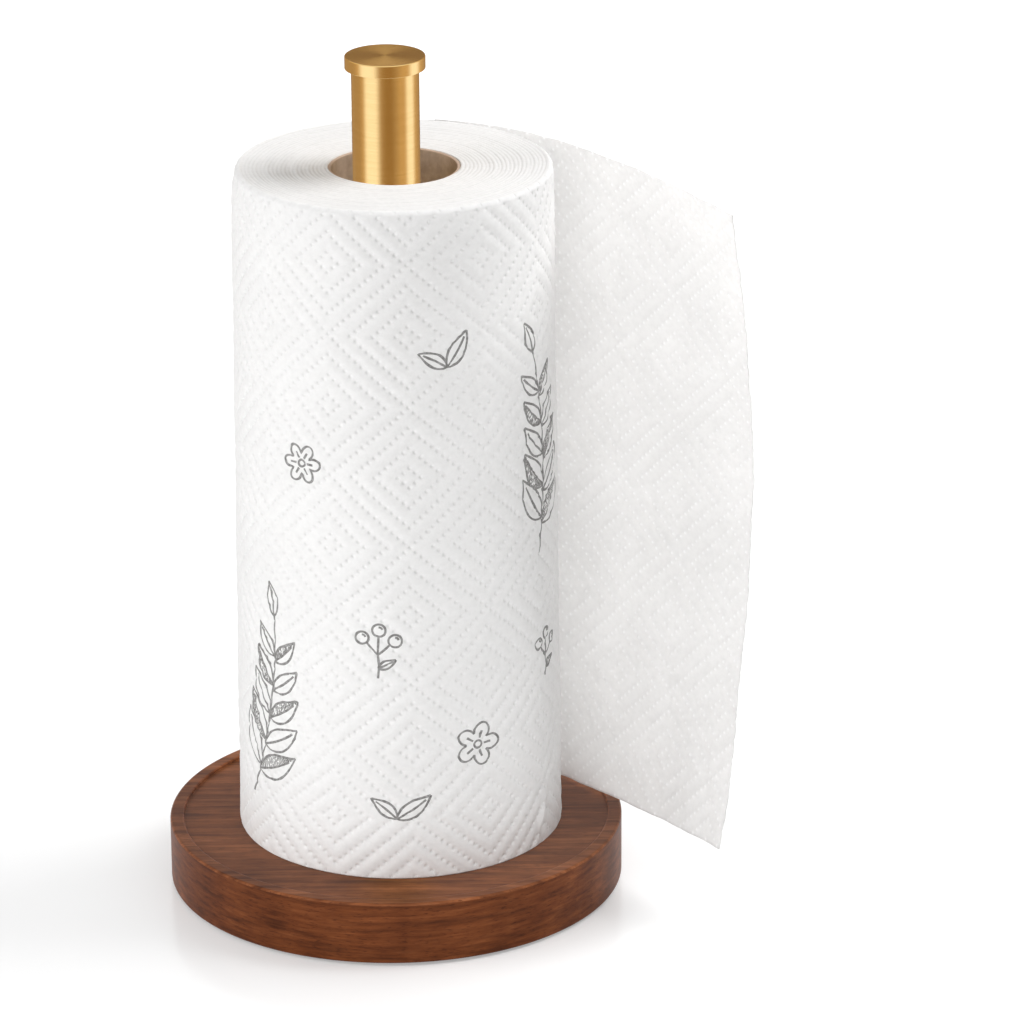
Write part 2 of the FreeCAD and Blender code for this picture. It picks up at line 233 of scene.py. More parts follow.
# Painted light and shade on the walnut: the top lighter and paler, the side darker, and a painted highlight
# along the rim's edges
TOP_LIGHT_LEVEL, SIDE_SHADE_LEVEL, EDGE_HIGHLIGHT_LEVEL = (1.12, 1.22, 1.35), (0.84, 0.77, 0.70), (1.35, 1.45, 1.65)
BRASS_TONES = [(0.25, (0.83, 0.59, 0.25)), (0.75, (0.92, 0.67, 0.31))]
INK_TONES = [(0.35, (0.19, 0.185, 0.18)), (0.7, (0.38, 0.375, 0.37))]
BOARD_TONES = [(0.3, (0.36, 0.295, 0.245)), (0.7, (0.52, 0.44, 0.375))]
BOARD_RIM_TONE = (0.56, 0.43, 0.34)
STEEL_TONE = (0.62, 0.62, 0.64)
PAD_TONE = (0.05, 0.05, 0.05)

# Fine relief and clearness of the tissue
RAISED_SIDE = -0.6
DOT_RADIUS, DOT_DEPTH = 0.55, 0.28
FIBRE_DEPTH = 0.08
SHEET_CLEARNESS = 0.5
CLEAR_FROM = 14

# Where the wood's side, rim and recess part
SIDE_TOP = 0.8
RECESS_SLACK = 0.5
# Painted highlight along the rim's inner and outer top edges: its place, width and depth
HIGHLIGHT_INNER, HIGHLIGHT_WIDTH, HIGHLIGHT_OUTER, HIGHLIGHT_DEPTH = 0.2, 0.4, 0.55, 0.7
BOARD_RIM_DEPTH = 0.3

# Floor and world
FLOOR_HALF = 4000.0
FLOOR_TONE = (0.74, 0.74, 0.74, 1.0)
WHITE = (1.0, 1.0, 1.0, 1.0)
FLOOR_GLOW, GLOW_FROM = 0.295, 500
FAR_GLOW, GLOW_TO = 0.80, 2500
WORLD_LEVEL = 0.315

# Soft lamps: place, point that they face, width, height and power
SOFTBOXES = {
    "left_softbox": ((-1500, -260, 760), (0, 0, 150), 900, 1200, 11.3),
    "front_softbox": ((-500, -2450, 380), (0, 0, 150), 1600, 700, 17.4),
    "right_softbox": ((900, 240, 1200), (0, 0, 150), 700, 700, 13.6),
    "back_softbox": ((500, 1500, 200), (60, 0, 100), 1200, 380, 8.8),
    "top_softbox": ((0, -150, 2400), (0, 0, 150), 1400, 1400, 8.0),
    "low_softbox": ((-60, -340, 60), (0, 0, 60), 520, 70, 0.19)}

# The studio's cards by compass angle from the front, towards the right
RING_RADIUS = 190.0
RING_LOW, RING_HIGH = 160.0, 520.0
RING_REACH = 320.0
RING_STEPS = 120
CARD_STRENGTH = 1.3
CARD_TINTS = {"glare": (0.96, 0.95, 1.0), "amber": (0.50, 0.355, 0.20), "tan": (0.36, 0.255, 0.15),
              "brown": (0.17, 0.11, 0.06), "umber": (0.27, 0.165, 0.068)}
RING_CARDS = [(-180, "brown"), (-140, "tan"), (-95, "tan"), (-78, "amber"), (-65, "glare"), (-30, "glare"),
              (-15, "tan"), (2, "umber"), (20, "umber"), (34, "tan"), (50, "amber"), (68, "amber"),
              (80, "glare"), (100, "glare"), (115, "amber"), (140, "tan"), (180, "brown")]
UPPER_CARD = 425.0
UPPER_TINT = (0.62, 0.50, 0.33)


def grid_faces(rows, columns, join_rows=False, join_columns=False):
    """Quads of a grid of points numbered row by row. A joined side closes on itself."""
    number = np.arange(rows * columns).reshape(rows, columns)
    if join_rows:
        number = np.vstack([number, number[:1]])
    if join_columns:
        number = np.hstack([number, number[:, :1]])
    corners = [number[:-1, :-1], number[:-1, 1:], number[1:, 1:], number[1:, :-1]]
    return np.stack(corners, axis=-1).reshape(-1, 4)


def new_object(name, points, faces, material):
    """A mesh object from points in millimetres and rows of point numbers."""
    mesh = bpy.data.meshes.new(name)
    mesh.from_pydata((points.reshape(-1, 3) * MM).tolist(), [], faces.tolist())
    mesh.materials.append(material)
    thing = bpy.data.objects.new(name, mesh)
    scene.collection.objects.link(thing)
    return thing


def add_piece(name, points, faces, material):
    """A smooth piece of the object."""
    piece = new_object(name, points, faces, material)
    piece.data.polygons.foreach_set("use_smooth", np.ones(len(faces), bool))
    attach(piece, "root")
    return piece


def mark_pattern(piece, along, up):
    """Store each point's place in the embossed pattern, counted in diamonds, and its side.

    The side is 1 where dots are pressed in. The second copy of the points, if there is
    one, is the paper's other side, where they stand out a little.
    """
    across, above = np.broadcast_arrays(along / DIAMOND_WIDTH, (up - DIAMOND_MIDDLE) / DIAMOND_HEIGHT)
    sides = [1.0, RAISED_SIDE][: len(piece.data.vertices) // across.size]
    places = np.array([np.stack([across, above, side + 0 * across], axis=-1) for side in sides])
    store = piece.data.attributes.new("pattern", "FLOAT_VECTOR", "POINT")
    store.data.foreach_set("vector", places.astype(np.float32).ravel())


def merge_doubles(piece):
    """Close the seams and poles of a piece where its points meet."""
    work = bmesh.new()
    work.from_mesh(piece.data)
    bmesh.ops.remove_doubles(work, verts=work.verts, dist=MERGE_METRES)
    work.to_mesh(piece.data)
    work.free()


def eased(corners, steps=5):
    """Half section whose corners (radius, height, easing) turn in arcs.

    An arc of the easing's radius touches both sides of its corner. A guard point beside
    each end of the arc keeps the shading of the flats flat.
    """
    places = np.array(corners, float)
    points = []
    for index, (across, up, easing) in enumerate(corners):
        place = np.array([across, up])
        if easing == 0:
            points.append(place)
            continue
        back = places[index - 1, :2] - place
        ahead = places[(index + 1) % len(places), :2] - place
        back, ahead = back / np.linalg.norm(back), ahead / np.linalg.norm(ahead)
        half = 0.5 * math.acos(np.clip(back @ ahead, -1, 1))
        reach = easing / math.tan(half)
        guard = reach + GUARD_SHARE * easing
        middle = place + (back + ahead) / np.linalg.norm(back + ahead) * easing / math.sin(half)
        first, last = place + back * reach - middle, place + ahead * reach - middle
        turn = math.atan2(first[0] * last[1] - first[1] * last[0], first @ last)
        angle = turn * np.linspace(0, 1, steps)[:, None]
        side = np.array([-first[1], first[0]])
        points.append(place + back * guard)
        points.extend(middle + first * np.cos(angle) + side * np.sin(angle))
        points.append(place + ahead * guard)
    return np.array(points)


def turned(name, section, middle, segments, material, closed=True):
    """A half section, outside upwards, turned about an upright axis at the middle (x, y).

    Each point is (x + r cos a, y + r sin a, z) for the section's (r, z).
    """
    angle = np.linspace(0, 2 * np.pi, segments, endpoint=False)
    radius, height = section[:, :1], section[:, 1:]
    points = np.stack([middle[0] + radius * np.cos(angle), middle[1] + radius * np.sin(angle),
                       height + 0 * angle], axis=-1)
    faces = grid_faces(len(section), segments, join_rows=closed, join_columns=True)
    piece = add_piece(name, points, faces, material)
    merge_doubles(piece)
    return piece


def ripple(along, up, seed, waves=5, longest=90.0):
    """Gentle unevenness from -1 to 1: the mean of a few sine waves in random directions."""
    random = np.random.default_rng(seed)
    total = 0.0
    for _ in range(waves):
        length = longest * random.uniform(SHORTEST_WAVE, 1.0)
        heading, phase = random.uniform(0, 2 * np.pi, 2)
        way = along * np.cos(heading) + up * np.sin(heading)
        total = total + np.sin(2 * np.pi * way / length + phase)
    return total / waves


def emboss(along, up):
    """Relief of the paper's printed side: soft swells between lines of pressed dots.

    In the diamond's slanted coordinates u and v, wrapped to its middle, the lines are
    the squares where the larger of |u| and |v| is an odd number of dot steps. The
    paper swells as a sharpened cosine between them, and each dot is a small round dimple.
    The loose sheet keeps only a share of the swell.
    """
    across, above = along / DIAMOND_WIDTH, (up - DIAMOND_MIDDLE) / DIAMOND_HEIGHT
    u, v = across + above, across - above
    u, v = (u - np.round(u)) * DIAMOND_DOTS, (v - np.round(v)) * DIAMOND_DOTS
    swell = (0.5 * (1 + np.cos(np.pi * np.maximum(np.abs(u), np.abs(v))))) ** PUFF_POWER
    row, column = np.round(u), np.round(v)
    pressed = np.maximum(np.abs(row), np.abs(column)) % 2 == 1
    u, v = u - row, v - column
    wide = (u + v) * DIAMOND_WIDTH / (2 * DIAMOND_DOTS)
    high = (u - v) * DIAMOND_HEIGHT / (2 * DIAMOND_DOTS)
    dimple = np.exp(-(wide ** 2 + high ** 2) / DIMPLE_RADIUS ** 2) * pressed
    kept = 1 - LOOSE_PUFF_LOSS * (along < SEAM_ALONG)
    return PUFF_HEIGHT * swell * kept - DIMPLE_DEPTH * dimple


def fold(along, up):
    """A short crease near the foot: a Gaussian ridge beside a Gaussian furrow, slanted."""
    beside, above = along - FOLD_ALONG, up - FOLD_UP
    across = FOLD_COSINE * beside - FOLD_SINE * above
    length = FOLD_SINE * beside + FOLD_COSINE * above
    ridge = np.exp(-(across / FOLD_WIDTH) ** 2)
    furrow = np.exp(-((across - FURROW_PLACE) / FURROW_WIDTH) ** 2)
    return FOLD_HEIGHT * (ridge - FURROW_SHARE * furrow) * np.exp(-(length / FOLD_LENGTH) ** 2)


def bend(x, y, heading, length, turn):
    """End and heading of a path that bends clockwise by turn over a length."""
    radius = length / np.maximum(turn, 1e-9)
    x = x + radius * (np.sin(heading) - np.sin(heading - turn))
    y = y + radius * (np.cos(heading - turn) - np.cos(heading))
    return x, y, heading - turn


def skin(along, up, lift):
    """Points on the printed side of the paper, raised by a lift along its outward side.

    The place along the paper counts clockwise turns as negative. On the winding a point
    lies at the angle of its place, on a radius that shrinks by one ply in a turn and
    grows towards the foot. Except on the right it draws in to a soft shoulder below the
    rim. Past the seam the paper leaves the circle, curls, and ends in a flatter tail.
    With the square of the distance past the seam its corners close in and its middle
    bulges to the right and back.
    """
    along, up, lift = np.broadcast_arrays(along, up, lift)
    share_up = (up - ROLL_FOOT) / ROLL_HEIGHT
    below_rim = np.clip((ROLL_TOP - up) / FADE_AT_RIM, 0, 1)
    above_foot = np.clip((up - ROLL_FOOT) / FADE_AT_FOOT, 0, 1)
    relief = emboss(along, up) * below_rim * above_foot
    relief = relief + WALL_RIPPLE * ripple(along, up, **WALL_WAVES) + fold(along, up)
    free = np.clip((SEAM_ALONG - along) / SHEET_LENGTH, 0, 1)
    flare = (FOOT_RADIUS - TOP_RADIUS) * (1 - share_up) * (1 - free)
    middle = TOP_SHIFT + (FOOT_SHIFT - TOP_SHIFT) * (1 - share_up) * (1 - free)

    angle = math.radians(DIAMOND_ANGLE) + np.maximum(along, SEAM_ALONG) / TOP_RADIUS
    seam_angle = math.radians(DIAMOND_ANGLE) + SEAM_ALONG / TOP_RADIUS
    radius = TOP_RADIUS - PLY * (angle - seam_angle) / (2 * math.pi)
    x, y = radius * np.cos(angle), radius * np.sin(angle)
    heading = angle - math.pi / 2

    distance = free * SHEET_LENGTH
    curl = np.clip(distance / CURL_LENGTH, 0, 1)
    tail = np.clip((distance - CURL_LENGTH) / TAIL_LENGTH, 0, 1)
    x, y, heading = bend(x, y, heading, curl * CURL_LENGTH, curl * CURL_ANGLE)
    x, y, heading = bend(x, y, heading, tail * TAIL_LENGTH, tail * TAIL_ANGLE)

    shoulder = np.clip((up - ROLL_TOP) / SHOULDER_HEIGHT + 1, 0, 1) ** 2 * np.clip(1 - np.cos(angle), 0, 1)
    wrinkles = WRINKLE_HEIGHT * np.clip(WRINKLE_ONSET * free, 0, 1) * ripple(along, up, **WRINKLES)
    grown = free ** 2
    swell = grown * 4 * share_up * (1 - share_up)
    tuck = CORNER_TUCK * grown * (1 - share_up) ** 2
    offset = lift + relief + flare + wrinkles - SHOULDER_DEPTH * shoulder * (1 - free) ** 2
    offset = offset + SHEET_RIPPLE * grown * ripple(along, up, **SHEET_WAVES)
    x = x - np.sin(heading) * offset + middle + BULGE_RIGHT * swell - tuck
    y = y + np.cos(heading) * offset + BULGE_BACK * swell
    low = (SHEET_GAP + CORNER_RISE * grown) * (free > 0)
    high = CORNER_DIP * grown
    z = up + low * (1 - share_up) - high * share_up
    return np.stack([x, y, z], axis=-1)


def dotted_grid(low, high, origin, step):
    """Places from low to high: both ends, and between them those whole steps off the origin."""
    first = math.ceil((low - origin) / step + GRID_MARGIN)
    last = math.floor((high - origin) / step - GRID_MARGIN)
    return np.r_[low, origin + step * np.arange(first, last + 1), high]


def wall_rows():
    """Heights and lifts of the wall's rows: foot arc, straight wall, rim arc."""
    foot, rim = np.linspace(0, np.pi / 2, FOOT_ROWS), np.linspace(0, np.pi / 2, RIM_ROWS)
    straight = dotted_grid(ROLL_FOOT + FOOT_ROUND, ROLL_TOP - RIM_ROUND, DIAMOND_MIDDLE, STEP_UP)[1:-1]
    up = np.concatenate([ROLL_FOOT + FOOT_ROUND * (1 - np.cos(foot)), straight,
                         ROLL_TOP - RIM_ROUND * (1 - np.sin(rim))])
    lift = np.concatenate([-FOOT_ROUND * (1 - np.sin(foot)), 0 * straight,
                           -RIM_ROUND * (1 - np.cos(rim))])
    return up, lift


def make_wall(paper):
    """The outer turn of the winding, in panels that meet on the same points."""
    up, lift = wall_rows()
    edges = np.linspace(0, TURN_STEPS, WALL_PANELS + 1).astype(int)
    panels = []
    for number, (first, last) in enumerate(zip(edges, edges[1:]), start=1):
        along = SEAM_ALONG + STEP_ALONG * np.arange(first, last + 1)
        points = skin(along[None, :], up[:, None], lift[:, None])
        faces = grid_faces(len(up), len(along))
        panels.append(add_piece(f"roll_wall_{number}", points, faces, paper))
        mark_pattern(panels[-1], along[None, :], up[:, None])
    return panels


def end_ring(height, lift, rows):
    """Rows of points from the wall's lip to the core, and the angle of each column."""
    along = SEAM_ALONG + np.linspace(0, 2 * np.pi * TOP_RADIUS, TURN_STEPS + 1)
    outer = skin(along, np.full_like(along, height), lift)
    angle = math.radians(DIAMOND_ANGLE) + along / TOP_RADIUS
    inner = np.stack([CORE_MIDDLE[0] + CORE_OUTSIDE * np.cos(angle),
                      CORE_MIDDLE[1] + CORE_OUTSIDE * np.sin(angle), np.full_like(angle, height)], axis=-1)
    share = np.linspace(0, 1, rows)[:, None, None]
    return outer * (1 - share) + inner * share, angle


def make_end_faces(paper, edges):
    """The wound edges of the paper on top, and the plain underside.

    The top falls a little towards the core. On it each turn is a ridge, whose height is
    the square root of the sine of its place in the spiral's pitch. A slow ripple along
    the unwound spiral makes the turns stand unevenly high. Round the front of the core
    they stand a little proud.
    """
    points, angle = end_ring(ROLL_TOP, -RIM_ROUND, END_ROWS)
    radius = np.hypot(points[..., 0] - TOP_SHIFT, points[..., 1])
    wander = TURN_WANDER * ripple(points[..., 0], points[..., 1], **WANDER_WAVES)
    turn = (radius + wander) / TURN_PITCH - angle[None, :] / (2 * np.pi)
    ridge = np.sqrt(np.abs(np.sin(np.pi * turn)))
    unwound = angle[None, :] + 2 * np.pi * np.floor(turn)
    uneven = ripple(unwound * UNWOUND_RADIUS, 0.0, **UNEVEN_WAVES)
    share = np.linspace(0, 1, END_ROWS)[:, None]
    fade = np.clip(share / END_FADE, 0, 1)
    relief = TURN_RELIEF * (ridge - TURN_MEAN) + TURN_UNEVEN * uneven - TURN_SINK
    proud = PROUD_HEIGHT * share ** PROUD_POWER * (PROUD_MEAN - PROUD_SWING * np.sin(angle[None, :]))
    points[..., 2] += fade * relief + proud - END_FALL * share
    lip = points[-1:].copy()
    lip[..., 2] = ROLL_TOP - END_FALL - LIP_DEPTH
    points = np.concatenate([points, lip])
    top = add_piece("roll_end_turns", points, grid_faces(*points.shape[:2]), edges)
    # Painted shade: a darker colour in the gaps between the turns, where shade falls
    gap_shade = np.zeros(points.shape[:2], np.float32)
    gap_shade[:-1] = fade * (1 - ridge ** 2) * (GAP_SHADE_MEAN + GAP_SHADE_SWING * uneven)
    top.data.attributes.new("gap_shade", "FLOAT", "POINT").data.foreach_set("value", gap_shade.ravel())
    points, _ = end_ring(ROLL_FOOT, -FOOT_ROUND, UNDERSIDE_ROWS)
    foot = add_piece("roll_foot", points, grid_faces(*points.shape[:2])[:, ::-1], paper)
    return [top, foot]


def make_loose_sheet(paper):
    """The last sheet as a thin closed leaf: an outer face, an inner face and their edges."""
    along = dotted_grid(SEAM_ALONG - SHEET_LENGTH, SEAM_ALONG, 0.0, SHEET_GRID * STEP_ALONG)
    up = dotted_grid(ROLL_FOOT, ROLL_TOP, DIAMOND_MIDDLE, SHEET_GRID * STEP_UP)
    outer = skin(along[None, :], up[:, None], 0.0)
    inner = skin(along[None, :], up[:, None], -PLY)
    points = np.concatenate([outer.reshape(-1, 3), inner.reshape(-1, 3)])
    total = outer.shape[0] * outer.shape[1]
    front = grid_faces(*outer.shape[:2])
    number = np.arange(total).reshape(outer.shape[:2])
    edges = []
    for line in (number[0], number[:, -1], number[-1, ::-1], number[::-1, 0]):
        edges.append(np.stack([line[:-1], line[:-1] + total, line[1:] + total, line[1:]], axis=-1))
    faces = np.concatenate([front, front[:, ::-1] + total] + edges)
    sheet = add_piece("loose_sheet", points, faces, paper)
    mark_pattern(sheet, along[None, :], up[:, None])
    return sheet


def path_of(headings, length):
    """A path of equal steps that follows the headings."""
    step = length / (len(headings) - 1)
    return np.cumsum(np.stack([np.cos(headings), np.sin(headings)], axis=-1) * step, axis=0)


def leaf(place, heading, length, width, curve=0.25):
    """Closed outline and midrib of a leaf.

    The midrib bends by the curve. On each side the outline stands off by half the width
    times the sine of a power of the share along it.
    """
    share = np.linspace(0, 1, LEAF_POINTS)
    angle = heading + curve * share
    rib = path_of(angle, length)
    rib = np.array(place) + rib - rib[0]
    off = np.stack([-np.sin(angle), np.cos(angle)], axis=-1) * width / 2
    off = off * np.sin(np.pi * share ** LEAF_POWER)[:, None]
    return [np.concatenate([rib + off, (rib - off)[::-1]]), rib[: int(MIDRIB_SHARE * len(rib))]]


def circle(place, radius, start=0.0, end=2 * math.pi):
    """An arc or a full circle about a place."""
    angle = np.linspace(start, end, CIRCLE_POINTS)
    return np.array(place) + radius * np.stack([np.cos(angle), np.sin(angle)], axis=-1)


def flower(place, radius, petals=5):
    """A flower whose rim follows a power of the absolute cosine of half the petal angle."""
    angle = np.linspace(0, 2 * np.pi, FLOWER_POINTS)
    rim = radius * (PETAL_NOTCH + PETAL_REACH * np.abs(np.cos(petals * angle / 2)) ** PETAL_POWER)
    outline = np.array(place) + rim[:, None] * np.stack([np.cos(angle), np.sin(angle)], axis=-1)
    strokes = [outline, circle(place, FLOWER_EYE * radius)]
    for turn in 2 * np.pi * np.arange(petals) / petals:
        way = np.array([math.cos(turn), math.sin(turn)])
        strokes.append(np.array(place) + np.outer(np.linspace(*STAMEN_SPAN, STAMEN_POINTS) * radius, way))
    return strokes


def stipple(outline, seed, count):
    """Dots scattered between a leaf's midrib and one side of its outline, as short strokes."""
    random = np.random.default_rng(seed)
    along = random.uniform(*STIPPLE_ALONG, count)
    depth = random.uniform(*STIPPLE_DEPTH, count)
    half = len(outline) // 2
    index = (along * (half - 1)).astype(int)
    middle = 0.5 * (outline[index] + outline[::-1][index])
    places = middle + depth[:, None] * (outline[index] - middle)
    return [place + np.array(STIPPLE_STROKE) for place in places]


def sprig(place, heading, height, pairs, leaf_length, seed):
    """A curved stem with pairs of leaves that shorten towards the tip. Every other leaf is dotted."""
    share = np.linspace(0, 1, STEM_POINTS)
    angle = heading + STEM_BEND * share
    stem = path_of(angle, height) + place
    strokes = [stem]
    for number in range(pairs):
        index = int((FIRST_PAIR + PAIRS_SPAN * number / pairs) * len(share))
        length = leaf_length * (1 - TIP_SHORTENING * number / pairs)
        for side in (-1, 1):
            outline, rib = leaf(stem[index + (side > 0)], angle[index] + side * LEAF_SPREAD, length,
                                LEAF_WIDTH * length, curve=-side * LEAF_CURVE)
            strokes += [outline, rib]
            if (number + (side > 0)) % 2 == 0:
                strokes += stipple(outline, seed + 2 * number + side, int(STIPPLE_DENSITY * length ** 2))
    length, width = np.array(TIP_LEAF) * leaf_length
    strokes += leaf(stem[-1], angle[-1], length, width)
    return strokes


def berries(place, size):
    """Three round berries on stalks that meet in a fork, with a small leaf."""
    place = np.array(place, float)
    strokes = [place + size * np.array(BERRY_STALK)]
    radius = BERRY_RADIUS * size
    for across, up in BERRY_TIPS:
        tip = place + size * np.array([across, up])
        way = (tip - place) / np.linalg.norm(tip - place)
        strokes += [np.linspace(place, tip - radius * way, 12), circle(tip, radius),
                    circle(tip, GLEAM_SHARE * radius, *BERRY_GLEAM)]
    heading, length, width = BERRY_LEAF
    return strokes + leaf(place + size * np.array(BERRY_LEAF_FOOT), heading, length * size, width * size)


def print_strokes():
    """Every stroke of one repeat of the print, as places along and up the paper."""
    foot = ROLL_FOOT
    strokes = sprig((-70.0, foot + 20.0), 1.12, 76.0, 5, 22.0, seed=50)
    strokes += sprig((56.0, foot + 112.0), 1.35, 80.0, 5, 22.0, seed=70)
    strokes += flower((24.0, foot + 50.0), 8.5)
    strokes += berries((-12.0, foot + 88.0), 10.0)
    strokes += flower((-40.0, foot + 158.0), 7.5, petals=6)
    strokes += leaf((-6.0, foot + 24.0), 0.5, *LONG_LEAF) + leaf((-6.0, foot + 24.0), 2.3, *SHORT_LEAF)
    strokes += berries((60.0, foot + 74.0), 9.0)
    strokes += leaf((14.0, foot + 196.0), 0.9, *LONG_LEAF) + leaf((14.0, foot + 196.0), 2.5, *SHORT_LEAF)
    return strokes


def make_print(ink):
    """Grey plant drawings, repeated round the roll, as thin strips that follow the relief."""
    lowest = SEAM_ALONG - SHEET_LENGTH + PRINT_MARGIN
    highest = SEAM_ALONG + PRINT_STEPS * STEP_ALONG
    flat, faces, total = [], [], 0
    for repeat in PRINT_REPEATS:
        for stroke in print_strokes():
            path = stroke + [repeat * PRINT_REPEAT, 0.0]
            if path[:, 0].min() < lowest or path[:, 0].max() > highest:
                continue
            reach = np.r_[0, np.cumsum(np.hypot(*np.diff(path, axis=0).T))]
            places = np.linspace(0, reach[-1], max(2, math.ceil(reach[-1] / INK_STEP) + 1))
            path = np.stack([np.interp(places, reach, path[:, axis]) for axis in (0, 1)], axis=-1)
            way = np.gradient(path, axis=0)
            way /= np.maximum(np.hypot(way[:, :1], way[:, 1:]), 1e-9)
            half = 0.5 * INK_WIDTH * (1 + INK_UNEVEN * ripple(path[:, :1], path[:, 1:], **INK_WAVES))
            side = np.stack([-way[:, 1], way[:, 0]], axis=-1) * half
            flat.append(np.stack([path + side, path - side], axis=1).reshape(-1, 2))
            faces.append(grid_faces(len(path), 2) + total)
            total += 2 * len(path)
    flat = np.concatenate(flat)
    lift = np.where(flat[:, 0] < SEAM_ALONG + 1, LOOSE_INK_LIFT, INK_LIFT)
    points = skin(flat[:, 0], flat[:, 1], lift)
    return add_piece("plant_print", points, np.concatenate(faces), ink)


def make_core(board):
    """Cardboard tube with softened ends."""
    low, high = CORE_LOW[2], CORE_HIGH[2] + CORE_RISE
    section = eased([(CORE_OUTSIDE, low, 0.3), (CORE_OUTSIDE, high, 0.3),
                     (CORE_INSIDE, high, 0.4), (CORE_INSIDE, low, 0.3)])
    core = turned("core_tube_board", section, CORE_MIDDLE, CORE_SEGMENTS, board)
    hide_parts("core_tube")
    core.visible_glossy = False


def make_base(walnut):
    """Walnut disc: rim, recess, socket for the post, bolt hole, counterbore and pad seat."""
    under, pad_top = BASE_LOW[2], node_box("foot_pad")[1][2]
    floor, socket = ROLL_FOOT, node_box("post_tube")[0][2]
    bore_top = node_box("screw_washer")[1][2]
    section = eased([
        (PAD_SEAT_RADIUS, under, FINE_EDGE), (BASE_EDGE, under, 1.2), (BASE_EDGE, BASE_TOP, 0.9),
        (RECESS_EDGE, BASE_TOP, 0.6), (RECESS_EDGE, floor, 0.35), (SOCKET_RADIUS, floor, 0.3),
        (SOCKET_RADIUS, socket, FINE_EDGE), (BOLT_HOLE_RADIUS, socket, FINE_EDGE),
        (BOLT_HOLE_RADIUS, bore_top, FINE_EDGE), (COUNTERBORE_RADIUS, bore_top, FINE_EDGE),
        (COUNTERBORE_RADIUS, pad_top, FINE_EDGE), (PAD_SEAT_RADIUS, pad_top, FINE_EDGE)])
    base = turned("wooden_base_turned", section, (0.0, 0.0), BASE_SEGMENTS, walnut)
    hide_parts("wooden_base")


def make_post(brass):
    """Brass tube with softened ends."""
    low, high = node_box("post_tube")
    outside, inside = high[0], high[0] - POST_WALL
    section = eased([(outside, low[2], FINE_EDGE), (outside, high[2], FINE_EDGE),
                     (inside, high[2], FINE_EDGE), (inside, low[2], FINE_EDGE)], steps=4)
    post = turned("post_tube_brushed", section, (0.0, 0.0), POST_SEGMENTS, brass)
    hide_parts("post_tube")


def make_cap(brass):
    """Flat brass cap whose top carries fine turned rings, and its spigot."""
    low, high = node_box("post_cap")
    radius, seat = high[0], node_box("post_tube")[1][2]
    side = eased([(0.0, low[2], 0), (SPIGOT_RADIUS, low[2], 0.4), (SPIGOT_RADIUS, seat, 0),
                  (radius, seat, 0.12), (radius, high[2], 0.45), (0.0, high[2], 0)], steps=5)[:-1]
    ring = np.linspace(radius - CAP_BORDER, 0.0, CAP_RINGS)
    grooves = CAP_RING_DEPTH * (np.cos(2 * np.pi * ring / CAP_RING_PITCH) - 1)
    section = np.vstack([side, np.stack([ring, high[2] + grooves * (ring > 0)], axis=-1)])
    cap = turned("post_cap_turned", section, (0.0, 0.0), POST_SEGMENTS, brass, closed=False)
    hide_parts("post_cap")


def add_node(tree, kind, inputs=None, **settings):
    """A shader node with its settings, and its inputs as values or as links."""
    node = tree.nodes.new("ShaderNode" + kind)
    for name, value in settings.items():
        setattr(node, name, value)
    for name, value in (inputs or {}).items():
        if isinstance(value, bpy.types.NodeSocket):
            tree.links.new(value, node.inputs[name])
        else:
            node.inputs[name].default_value = value
    return node


def start_material(name, **constants):
    """A material's node tree and its surface shader with the constants set on it."""
    material = bpy.data.materials.new(name)
    material.use_nodes = True
    shader = material.node_tree.nodes["Principled BSDF"]
    for socket, value in constants.items():
        shader.inputs[socket.replace("_", " ")].default_value = value
    return material, material.node_tree, shader


def object_place(tree, scale=(1, 1, 1)):
    """Place on the object in metres, stretched by a scale."""
    place = add_node(tree, "TexCoord").outputs["Object"]
    mapping = add_node(tree, "Mapping", {"Vector": place, "Scale": scale})
    return mapping.outputs["Vector"]


def split_place(tree, place):
    """The X, Y and Z of a place."""
    return add_node(tree, "SeparateXYZ", {"Vector": place}).outputs


def length_of(tree, place):
    """Distance of a place from the origin."""
    return add_node(tree, "VectorMath", {0: place}, operation="LENGTH").outputs["Value"]


def noise(tree, place, scale, detail=4.0, roughness=0.5):
    """Value of a cloudy noise at a place."""
    return add_node(tree, "TexNoise", {
        "Vector": place, "Scale": scale, "Detail": detail, "Roughness": roughness}).outputs["Fac"]


def ramp(tree, value, stops):
    """Colour from a value by (position, colour) stops."""
    node = add_node(tree, "ValToRGB", {"Fac": value})
    bar = node.color_ramp.elements
    while len(bar) < len(stops):
        bar.new(0.5)
    for element, (position, colour) in zip(bar, stops):
        element.position = position
        element.color = (*colour, 1.0)
    return node.outputs["Color"]


def remap(tree, value, source=(0.0, 1.0), target=(0.0, 1.0)):
    """A value carried from one range to another, and held at its ends."""
    return add_node(tree, "MapRange", {
        "Value": value, "From Min": source[0], "From Max": source[1],
        "To Min": target[0], "To Max": target[1]}).outputs["Result"]


def blend(tree, share, first, second, kind="MIX"):
    """Mix of two colours or sockets."""
    node = add_node(tree, "Mix", data_type="RGBA", blend_type=kind)
    for index, value in ((0, share), (6, first), (7, second)):
        if isinstance(value, bpy.types.NodeSocket):
            tree.links.new(value, node.inputs[index])
        else:
            node.inputs[index].default_value = value if index == 0 else (*value, 1.0)
    return node.outputs[2]


def bump(tree, height, strength, distance):
    """Surface direction bent by a height."""
    return add_node(tree, "Bump", {
        "Height": height, "Strength": strength, "Distance": distance}).outputs["Normal"]


def calc(tree, operation, *values):
    """Result of a calculation on numbers or sockets."""
    return add_node(tree, "Math", dict(enumerate(values)), operation=operation).outputs[0]


def paint(tree, shader, colour, normal=None):
    """Feed the shader its colour and, where there is one, its bent surface direction."""
    tree.links.new(colour, shader.inputs["Base Color"])
    if normal:
        tree.links.new(normal, shader.inputs["Normal"])


